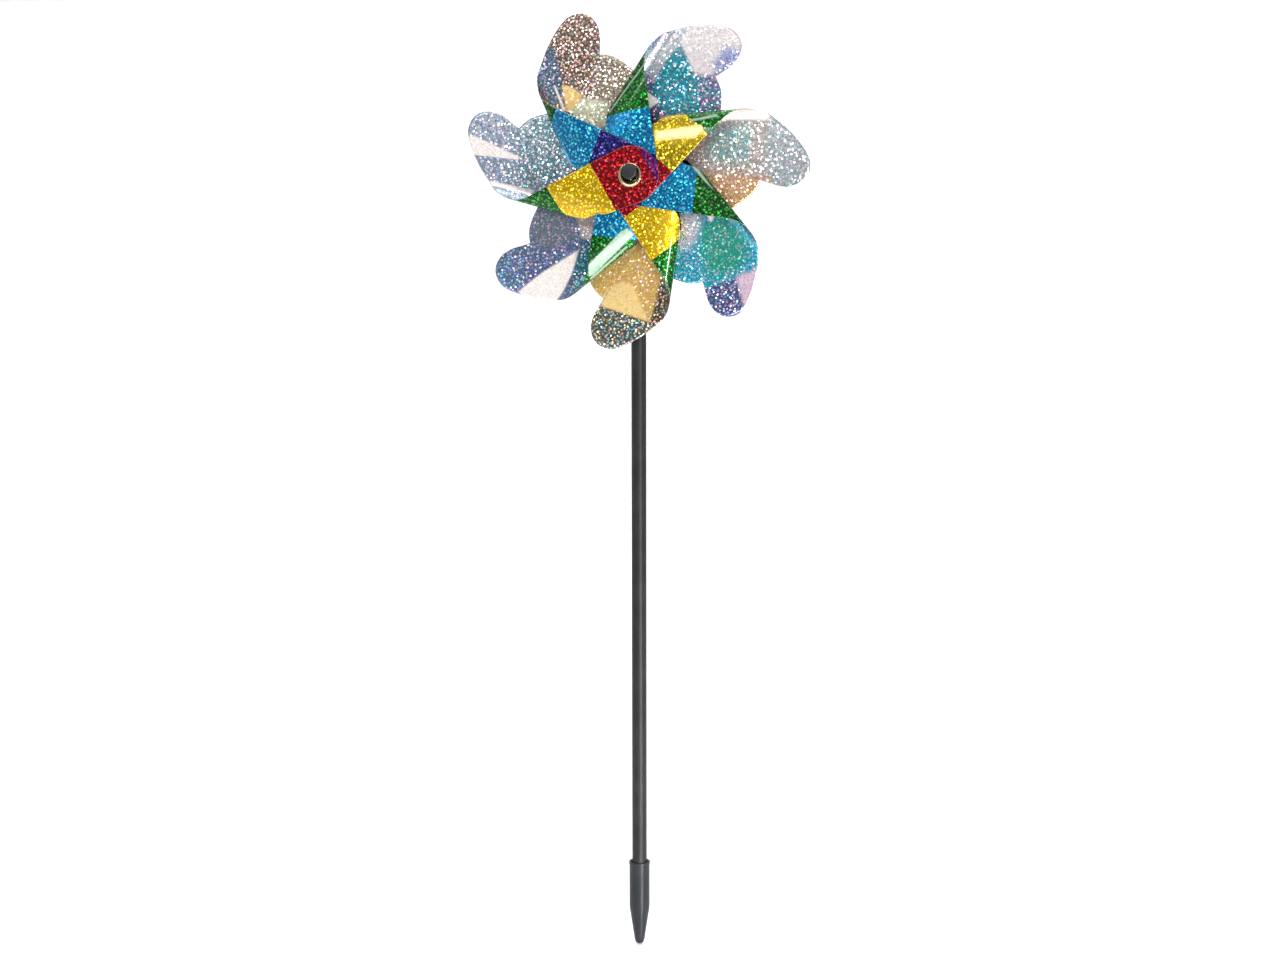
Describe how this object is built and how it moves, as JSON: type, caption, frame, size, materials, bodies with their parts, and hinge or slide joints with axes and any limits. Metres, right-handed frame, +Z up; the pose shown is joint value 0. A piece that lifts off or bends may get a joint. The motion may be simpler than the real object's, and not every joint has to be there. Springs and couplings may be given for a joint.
{
  "type": "garden wind spinner",
  "caption": "Wind spinner with looped reflective film blades on an eyelet hub, turning on a pin through a round pole with a tapered ground spike.",
  "frame": {"origin": "on the pole axis at ground level, the underside of the ground spike's rim", "axes": "+Z up along the pole, the wheel faces -Y, +X to the viewer's right"},
  "size_m": [0.2348, 0.0425, 0.6639],
  "materials": {
    "pole_plastic": "fine matt charcoal",
    "cap_plastic": "moulded black",
    "spike_plastic": "smooth moulded slate grey",
    "pin_plastic": "moulded black",
    "eyelet_brass": "pale rolled brass",
    "tube_plastic": "natural white",
    "silver_film": "metallised holographic film with tinted arms"
  },
  "bodies": {
    "stake": {"pole": "pole_plastic", "pole_top_cap": "cap_plastic", "ground_spike": "spike_plastic", "axle_pin": "pin_plastic", "pole_spacer": "cap_plastic", "pin_retainer": "cap_plastic"},
    "wheel": {"blade_1": "silver_film", "blade_2": "silver_film", "blade_3": "silver_film", "blade_4": "silver_film", "blade_5": "silver_film", "blade_6": "silver_film", "blade_7": "silver_film", "front_eyelet": "eyelet_brass", "back_eyelet": "eyelet_brass", "hub_tube": "tube_plastic"}
  },
  "joints": [
    {"name": "wheel_spin", "type": "hinge", "parent": "stake", "child": "wheel", "pos_m": [0, -0.0184, 0.4916], "axis": [0, -1, 0], "continuous": true}
  ]
}
